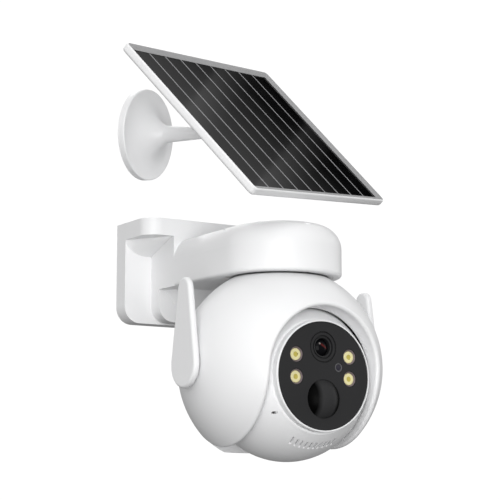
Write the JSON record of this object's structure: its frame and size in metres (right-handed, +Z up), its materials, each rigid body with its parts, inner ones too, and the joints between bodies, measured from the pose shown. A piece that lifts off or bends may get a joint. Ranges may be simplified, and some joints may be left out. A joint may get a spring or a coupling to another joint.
{
  "type": "solar-powered security camera",
  "caption": "Wall-bracket pan and tilt camera: white ball head with a tilting sensor eye and swinging aerials, and a small solar panel on its own ball-jointed wall base.",
  "frame": {"origin": "centre of the camera bracket's wall face", "axes": "+Z up, +Y into the wall, the camera's arm reaches along -Y and the face looks along -Y"},
  "size_m": [0.1746, 0.1459, 0.2382],
  "materials": {
    "white_shell": "satin moulded",
    "white_rubber": "matt moulded",
    "black_rubber": "matt moulded",
    "plate_steel": "zinc plated sheet",
    "screw_steel": "machined",
    "motor_can": "drawn can",
    "shaft_steel": "ground",
    "acetal": "moulded",
    "cell_wrap": "shrink sleeve",
    "black_plastic": "fine moulded",
    "board": "solder mask",
    "face_window": "polished",
    "lens_glass": "coated",
    "lamp_yellow": "phosphor",
    "lamp_cup": "metallised",
    "sensor_window": "polished",
    "pir_dome": "polished",
    "sensor_can": "stamped",
    "solar_cells": "laminated cells"
  },
  "bodies": {
    "wall_unit": {"arm_bracket": "white_shell", "wall_plate": "plate_steel", "arm_cover": "white_shell", "arm_cover_screws": "screw_steel", "battery_cells": "cell_wrap", "battery_tray": "black_plastic", "pan_motor": "motor_can", "pan_motor_screws": "screw_steel", "charge_socket": "black_plastic", "reset_switch": "black_plastic", "solar_base": "white_shell", "solar_base_plate": "plate_steel"},
    "head": {"pan_shaft": "shaft_steel", "neck_collar": "white_shell", "neck_screws": "screw_steel", "head_shell": "white_shell", "rear_cover": "white_shell", "rear_seal": "black_rubber", "rear_cover_screws": "screw_steel", "head_chassis": "black_plastic", "main_board": "board", "tilt_motor": "motor_can", "tilt_bush": "acetal", "aerial_pins": "shaft_steel"},
    "eye": {"eye_front_shell": "white_shell", "eye_rear_shell": "white_shell", "eye_screws": "screw_steel", "bezel_ring": "white_shell", "face_panel": "face_window", "sensor_board": "board", "lens_barrel": "black_plastic", "lens_glass": "lens_glass", "spot_lamps": "lamp_yellow", "lamp_reflectors": "lamp_cup", "light_sensor": "sensor_window", "pir_lens": "pir_dome", "pir_sensor": "sensor_can", "speaker": "black_plastic", "microphone": "sensor_can", "tilt_shaft": "shaft_steel", "trunnion_pin": "shaft_steel"},
    "left_aerial": {"aerial_left": "white_shell"},
    "right_aerial": {"aerial_right": "white_shell"},
    "flap": {"port_flap": "white_rubber"},
    "button": {"reset_button": "black_plastic"},
    "stud": {"ball_stud": "white_shell"},
    "socket": {"ball_cup": "white_shell", "lock_collar": "white_shell"},
    "solar_panel": {"panel_frame": "white_shell", "solar_laminate": "solar_cells", "panel_back": "white_shell", "junction_box": "white_shell", "cable_gland": "black_rubber", "panel_screws": "screw_steel"}
  },
  "joints": [
    {"name": "pan", "type": "hinge", "parent": "wall_unit", "child": "head", "pos_m": [0, -0.0941, -0.0586], "axis": [0, 0, 1], "range_deg": [-177, 177]},
    {"name": "tilt", "type": "hinge", "parent": "head", "child": "eye", "pos_m": [0, -0.10002, -0.06525], "axis": [1, 0, 0], "range_deg": [-8, 90]},
    {"name": "left_aerial_swing", "type": "hinge", "parent": "head", "child": "left_aerial", "pos_m": [-0.0575, -0.0921, -0.0586], "axis": [1, 0, 0], "range_deg": [-90, 90]},
    {"name": "right_aerial_swing", "type": "hinge", "parent": "head", "child": "right_aerial", "pos_m": [0.0575, -0.0921, -0.0586], "axis": [1, 0, 0], "range_deg": [-90, 90]},
    {"name": "port_flap_swing", "type": "hinge", "parent": "wall_unit", "child": "flap", "pos_m": [0.0333, -0.0845, 0.002], "axis": [0, -1, 0], "range_deg": [0, 100]},
    {"name": "reset_press", "type": "slide", "parent": "wall_unit", "child": "button", "axis": [-1, 0, 0], "range_m": [0, 0.0005], "stiffness_N_per_m": 500},
    {"name": "panel_swivel", "type": "hinge", "parent": "wall_unit", "child": "stud", "pos_m": [-0.01449, -0.05826, 0.07681], "axis": [0.4816, -0.8724, -0.0837], "range_deg": [-25, 5]},
    {"name": "panel_tilt", "type": "hinge", "parent": "stud", "child": "socket", "pos_m": [-0.01449, -0.05826, 0.07681], "axis": [-0.8717, -0.4669, -0.1491], "range_deg": [0, 10]},
    {"name": "panel_turn", "type": "hinge", "parent": "socket", "child": "solar_panel", "pos_m": [-0.01449, -0.05826, 0.07681], "axis": [0.2704, -0.7119, 0.6481], "range_deg": [-10, 5]}
  ]
}
